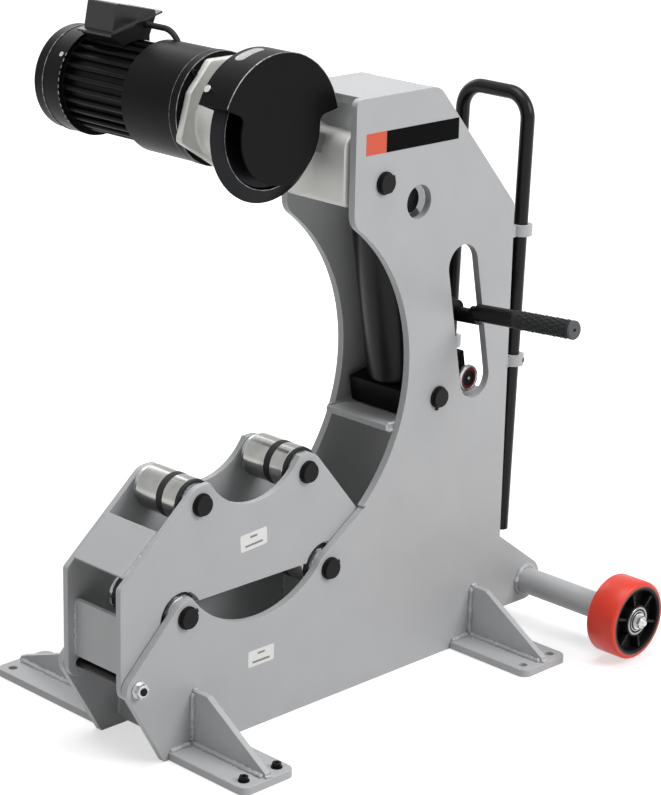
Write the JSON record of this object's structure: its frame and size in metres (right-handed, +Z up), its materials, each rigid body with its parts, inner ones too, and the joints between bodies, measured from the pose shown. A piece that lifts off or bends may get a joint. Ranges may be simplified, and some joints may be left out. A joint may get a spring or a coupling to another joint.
{
  "type": "electric pipe cutter",
  "caption": "Electric pipe cutter: C-shaped twin-plate frame on feet and wheels, jack-fed swinging cutter head with motor, flip-up roller cradle, sliding tow handle.",
  "frame": {"origin": "on the floor, in the middle plane of the two side plates, midway between the front and the rear feet; it lies on the underside of the frame's cross tie", "axes": "+X points to the wheels and away from the open throat, +Y to the motor side, along the pipe, and +Z up"},
  "size_m": [0.9015, 0.7373, 1.0065],
  "materials": {
    "grey_paint": "light grey semi-gloss paint on welded steel plate",
    "silver_paint": "bright silver-grey paint on a casting",
    "black_paint": "black semi-gloss paint",
    "black_oxide": "blackened tool steel",
    "steel": "ground bright steel",
    "zinc": "zinc-plated steel",
    "red_tyre": "cast red polyurethane",
    "black_plastic": "moulded black plastic",
    "black_rubber": "ribbed black rubber",
    "copper": "varnished windings and laminations"
  },
  "bodies": {
    "frame": {"near_side_plate": "grey_paint", "far_side_plate": "grey_paint", "top_cover": "grey_paint", "jack_shelf": "grey_paint", "front_cross_plate": "grey_paint", "cradle_rest": "grey_paint", "near_feet": "grey_paint", "far_feet": "grey_paint", "foot_gussets": "grey_paint", "axle_tube": "grey_paint", "axle_studs": "zinc", "axle_nuts": "zinc", "handle_rings": "grey_paint", "pin_caps": "black_plastic", "frame_pins": "steel", "base_roller_shafts": "steel", "base_roller_rings": "zinc", "cradle_pivot_rod": "black_oxide", "cradle_pivot_nuts": "zinc"},
    "near_wheel": {"near_wheel_tyre": "red_tyre", "near_wheel_hub": "black_plastic"},
    "far_wheel": {"far_wheel_tyre": "red_tyre", "far_wheel_hub": "black_plastic"},
    "base_front": {"base_front_roller": "steel"},
    "base_rear": {"base_rear_roller": "steel"},
    "cradle": {"cradle_near_plate": "grey_paint", "cradle_far_plate": "grey_paint", "cradle_slope_plate": "grey_paint", "cradle_front_plate": "grey_paint", "cradle_roller_shafts": "steel", "cradle_roller_rings": "zinc", "cradle_pin_caps": "black_plastic"},
    "cradle_front": {"cradle_front_roller": "steel"},
    "cradle_rear": {"cradle_rear_roller": "steel"},
    "handle": {"tow_handle": "black_paint"},
    "head": {"head_arm": "silver_paint", "gearbox_flange": "black_paint", "gearbox_housing": "black_paint", "cutter_guard": "black_paint", "head_screws": "zinc", "motor_body": "black_paint", "stator": "copper", "fan_cowl": "black_plastic", "terminal_box": "black_plastic", "terminal_lid": "black_plastic", "motor_cable": "black_rubber"},
    "cutter": {"cutter_wheel": "black_oxide", "cutter_shaft": "steel", "cutter_nut": "steel"},
    "idler": {"layshaft": "steel"},
    "motor_rotor": {"rotor": "steel", "cooling_fan": "black_plastic"},
    "jack": {"jack_base": "black_paint", "jack_barrel": "black_paint"},
    "ram_rod": {"ram": "steel"},
    "pump_plunger": {"plunger": "black_oxide"},
    "pump_lever": {"lever_socket": "black_paint", "lever_bar": "black_paint", "lever_grip": "black_rubber"},
    "knob": {"release_knob": "black_rubber"}
  },
  "joints": [
    {"name": "head_swing", "type": "hinge", "parent": "frame", "child": "head", "pos_m": [0.0665, 0, 0.775], "axis": [0, -1, 0], "range_deg": [0, 68]},
    {"name": "jack_tilt", "type": "hinge", "parent": "frame", "child": "jack", "pos_m": [0.196, 0, 0.426], "axis": [0, -1, 0], "range_deg": [-1, 0]},
    {"name": "ram_slide", "type": "slide", "parent": "jack", "child": "ram_rod", "axis": [-0.1752, 0, 0.9845], "range_m": [0, 0.0945]},
    {"name": "cutter_spin", "type": "hinge", "parent": "head", "child": "cutter", "pos_m": [-0.099, 0, 0.863], "axis": [0, 1, 0], "continuous": true},
    {"name": "layshaft_spin", "type": "hinge", "parent": "head", "child": "idler", "pos_m": [-0.099, 0.14, 0.915], "axis": [0, 1, 0], "continuous": true},
    {"name": "rotor_spin", "type": "hinge", "parent": "head", "child": "motor_rotor", "pos_m": [-0.099, 0.28, 0.877], "axis": [0, 1, 0], "continuous": true},
    {"name": "cradle_flip", "type": "hinge", "parent": "frame", "child": "cradle", "pos_m": [-0.399, 0, 0.126], "axis": [0, -1, 0], "range_deg": [0, 135]},
    {"name": "base_front_spin", "type": "hinge", "parent": "frame", "child": "base_front", "pos_m": [-0.309, 0, 0.2085], "axis": [0, 1, 0], "continuous": true},
    {"name": "base_rear_spin", "type": "hinge", "parent": "frame", "child": "base_rear", "pos_m": [-0.028, 0, 0.2085], "axis": [0, 1, 0], "continuous": true},
    {"name": "cradle_front_spin", "type": "hinge", "parent": "cradle", "child": "cradle_front", "pos_m": [-0.2715, 0, 0.364], "axis": [0, 1, 0], "continuous": true},
    {"name": "cradle_rear_spin", "type": "hinge", "parent": "cradle", "child": "cradle_rear", "pos_m": [-0.0645, 0, 0.364], "axis": [0, 1, 0], "continuous": true},
    {"name": "near_wheel_spin", "type": "hinge", "parent": "frame", "child": "near_wheel", "pos_m": [0.419, -0.28, 0.07], "axis": [0, 1, 0], "continuous": true},
    {"name": "far_wheel_spin", "type": "hinge", "parent": "frame", "child": "far_wheel", "pos_m": [0.419, 0.28, 0.07], "axis": [0, 1, 0], "continuous": true},
    {"name": "handle_slide", "type": "slide", "parent": "frame", "child": "handle", "axis": [0.0305, 0, 0.9995], "range_m": [0, 0.24]},
    {"name": "lever_pump", "type": "hinge", "parent": "jack", "child": "pump_lever", "pos_m": [0.26091, 0.028, 0.54065], "axis": [0.9845, 0, 0.1752], "range_deg": [-20, 20]},
    {"name": "plunger_slide", "type": "slide", "parent": "jack", "child": "pump_plunger", "axis": [-0.1752, 0, 0.9845], "range_m": [-0.0098, 0.0098]},
    {"name": "knob_turn", "type": "hinge", "parent": "jack", "child": "knob", "pos_m": [0.29016, -0.045, 0.43057], "axis": [0, -1, 0], "range_deg": [0, 90]}
  ],
  "couplings": [
    {"joint": "jack_tilt", "follows": "head_swing", "ratio": -0.01472},
    {"joint": "ram_slide", "follows": "head_swing", "m_per_rad": 0.079509},
    {"joint": "layshaft_spin", "follows": "cutter_spin", "ratio": -4.2},
    {"joint": "rotor_spin", "follows": "cutter_spin", "ratio": 11.76},
    {"joint": "plunger_slide", "follows": "lever_pump", "m_per_rad": -0.028}
  ]
}
